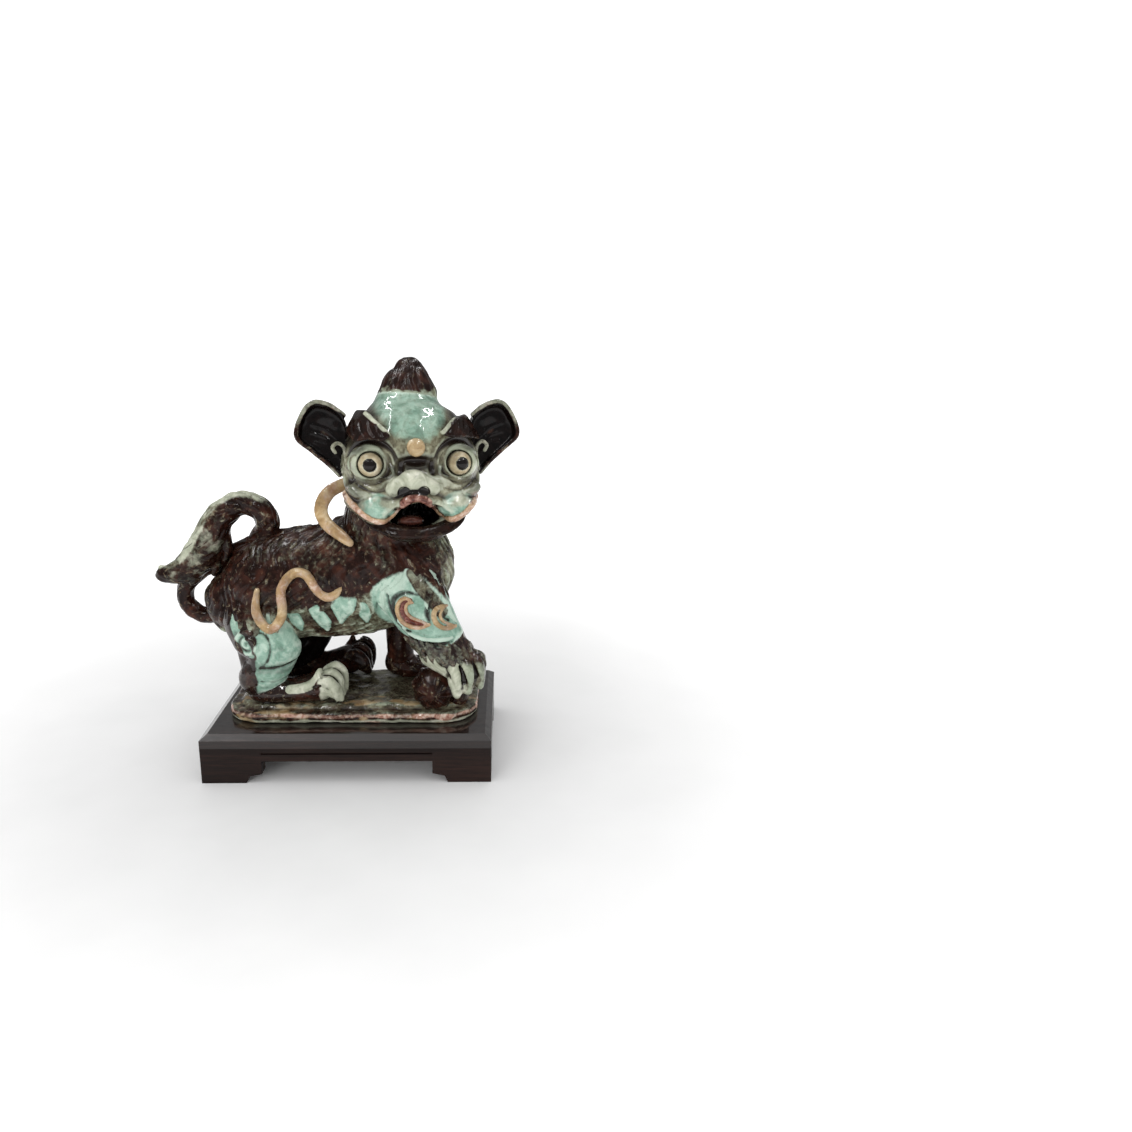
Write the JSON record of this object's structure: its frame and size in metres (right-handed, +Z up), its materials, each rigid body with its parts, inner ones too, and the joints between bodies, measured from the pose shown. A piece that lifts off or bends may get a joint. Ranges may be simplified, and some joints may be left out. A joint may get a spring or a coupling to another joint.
{
  "type": "foo dog statue",
  "caption": "Glazed ceramic guardian lion with one paw on a ball and its head turned, on a low wooden stand with bracket feet.",
  "frame": {"origin": "on the floor under the middle of the whole object's box", "axes": "+Z up, the lion walks towards +X and looks towards -Y, the front of the stand faces -Y"},
  "size_m": [0.2236, 0.1084, 0.253],
  "materials": {
    "stand_wood": "satin",
    "glaze_brown": "gloss",
    "glaze_aqua": "gloss",
    "glaze_cream": "gloss",
    "glaze_pale": "gloss",
    "glaze_rust": "gloss"
  },
  "bodies": {
    "stand": {"stand_board": "stand_wood", "front_apron": "stand_wood", "back_apron": "stand_wood", "left_apron": "stand_wood", "right_apron": "stand_wood"},
    "figure": {"plinth": "glaze_rust", "rock": "glaze_brown", "ball": "glaze_brown", "torso_right_half": "glaze_brown", "torso_left_half": "glaze_brown", "head_face": "glaze_aqua", "head_back": "glaze_brown", "lower_jaw": "glaze_brown", "tongue": "glaze_rust", "nose": "glaze_pale", "right_eye": "glaze_cream", "left_eye": "glaze_cream", "right_brow": "glaze_brown", "left_brow": "glaze_brown", "forehead_bead": "glaze_cream", "crest_knob": "glaze_brown", "right_ear": "glaze_brown", "left_ear": "glaze_brown", "right_neck_ribbon": "glaze_cream", "left_neck_ribbon": "glaze_cream", "right_side_ribbon": "glaze_cream", "left_side_ribbon": "glaze_cream", "right_shoulder_scroll": "glaze_cream", "right_foreleg": "glaze_aqua", "right_forepaw": "glaze_pale", "left_foreleg": "glaze_brown", "left_forepaw": "glaze_brown", "right_hind_leg": "glaze_aqua", "right_hind_paw": "glaze_pale", "left_hind_leg": "glaze_brown", "left_hind_paw": "glaze_brown", "tail_stem": "glaze_brown", "tail_plume": "glaze_brown"}
  },
  "joints": [
    {"name": "figure_lift", "type": "slide", "parent": "stand", "child": "figure", "axis": [0, 0, 1], "range_m": [0, 0.05]}
  ]
}
